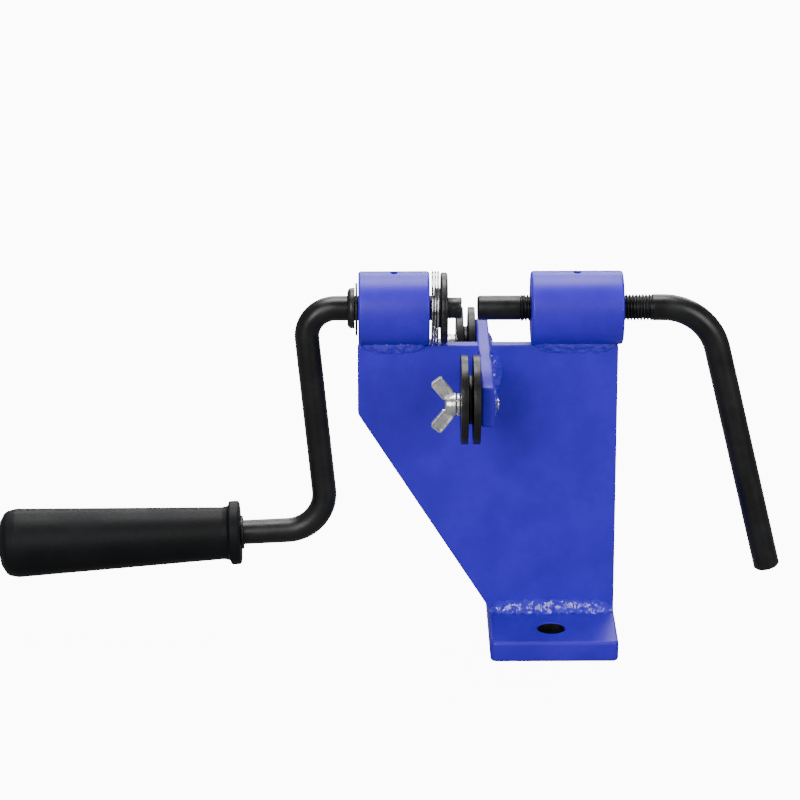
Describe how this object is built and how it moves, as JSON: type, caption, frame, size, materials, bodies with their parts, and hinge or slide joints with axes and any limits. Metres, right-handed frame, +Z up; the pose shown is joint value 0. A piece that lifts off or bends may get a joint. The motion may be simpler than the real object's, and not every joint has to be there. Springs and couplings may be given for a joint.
{
  "type": "saw chain rivet spinner",
  "caption": "Bench-mounted hand-cranked rivet spinner for saw chain: welded blue steel stand, sprung spinning head, screw-fed anvil and grooved chain rollers.",
  "frame": {"origin": "centre of the foot plate's underside, on the bench", "axes": "+X along the spindle from the crank to the feed screw, +Y to the back of the bench, +Z up"},
  "size_m": [0.3623, 0.124, 0.1746],
  "materials": {
    "blue_paint": "gloss enamel with light orange peel",
    "black_oxide": "oiled black oxide",
    "bright_zinc": "bright zinc plate",
    "spring_steel": "drawn wire",
    "bush_bronze": "oiled sintered bronze",
    "grip_plastic": "satin moulded"
  },
  "bodies": {
    "stand": {"base_plate": "blue_paint", "upright_plate": "blue_paint", "spindle_boss": "blue_paint", "screw_boss": "blue_paint", "roller_bracket": "blue_paint", "foot_weld_front": "blue_paint", "foot_weld_rear": "blue_paint", "spindle_boss_weld_front": "blue_paint", "spindle_boss_weld_rear": "blue_paint", "screw_boss_weld_front": "blue_paint", "screw_boss_weld_rear": "blue_paint", "bracket_weld_front": "blue_paint", "bracket_weld_rear": "blue_paint", "front_stud_weld": "blue_paint", "rear_stud_weld": "blue_paint", "front_stud": "bright_zinc", "rear_stud": "bright_zinc", "spindle_bush": "bush_bronze", "return_spring": "spring_steel"},
    "spindle_stop": {"spindle_washer": "black_oxide"},
    "crank": {"crank_arm": "black_oxide", "spindle_collar": "black_oxide", "spinner_head": "black_oxide", "peening_bit": "black_oxide", "grip_washer": "black_oxide", "grip_retaining_ring": "spring_steel"},
    "grip": {"crank_grip": "grip_plastic"},
    "anvil": {"anvil_tip": "black_oxide"},
    "screw": {"feed_screw": "black_oxide"},
    "front_guide": {"front_roller": "black_oxide"},
    "rear_guide": {"rear_roller": "black_oxide"},
    "front_washer": {"front_lock_washer": "bright_zinc"},
    "front_nut": {"front_wing_nut": "bright_zinc"},
    "rear_washer": {"rear_lock_washer": "bright_zinc"},
    "rear_nut": {"rear_wing_nut": "bright_zinc"}
  },
  "joints": [
    {"name": "spindle_slide", "type": "slide", "parent": "stand", "child": "spindle_stop", "axis": [1, 0, 0], "range_m": [-0.0015, 0], "stiffness_N_per_m": 75, "springref_m": 0.003, "deforming": ["return_spring"]},
    {"name": "crank_turn", "type": "hinge", "parent": "spindle_stop", "child": "crank", "pos_m": [-0.0894, 0, 0.1578], "axis": [1, 0, 0], "continuous": true},
    {"name": "grip_turn", "type": "hinge", "parent": "crank", "child": "grip", "pos_m": [-0.14425, 0, 0.04878], "axis": [-0.9989, 0, -0.0471], "continuous": true},
    {"name": "screw_feed", "type": "slide", "parent": "stand", "child": "anvil", "axis": [1, 0, 0], "range_m": [-0.0061, 0.0136]},
    {"name": "screw_turn", "type": "hinge", "parent": "anvil", "child": "screw", "pos_m": [-0.011, 0, 0.1578], "axis": [1, 0, 0], "range_deg": [-1440, 3240]},
    {"name": "front_roller_turn", "type": "hinge", "parent": "stand", "child": "front_guide", "pos_m": [-0.0394, -0.042, 0.126], "axis": [1, 0, 0], "continuous": true},
    {"name": "rear_roller_turn", "type": "hinge", "parent": "stand", "child": "rear_guide", "pos_m": [-0.0394, 0.042, 0.126], "axis": [1, 0, 0], "continuous": true},
    {"name": "front_nut_travel", "type": "slide", "parent": "stand", "child": "front_washer", "axis": [-1, 0, 0], "range_m": [0, 0.0031]},
    {"name": "front_nut_turn", "type": "hinge", "parent": "front_washer", "child": "front_nut", "pos_m": [-0.046, -0.042, 0.126], "axis": [-1, 0, 0], "range_deg": [0, 1080]},
    {"name": "rear_nut_travel", "type": "slide", "parent": "stand", "child": "rear_washer", "axis": [-1, 0, 0], "range_m": [0, 0.0031]},
    {"name": "rear_nut_turn", "type": "hinge", "parent": "rear_washer", "child": "rear_nut", "pos_m": [-0.046, 0.042, 0.126], "axis": [-1, 0, 0], "range_deg": [0, 1080]}
  ],
  "couplings": [
    {"joint": "screw_feed", "follows": "screw_turn", "m_per_rad": 0.00023873},
    {"joint": "front_nut_travel", "follows": "front_nut_turn", "m_per_rad": 0.00015915},
    {"joint": "rear_nut_travel", "follows": "rear_nut_turn", "m_per_rad": 0.00015915}
  ]
}
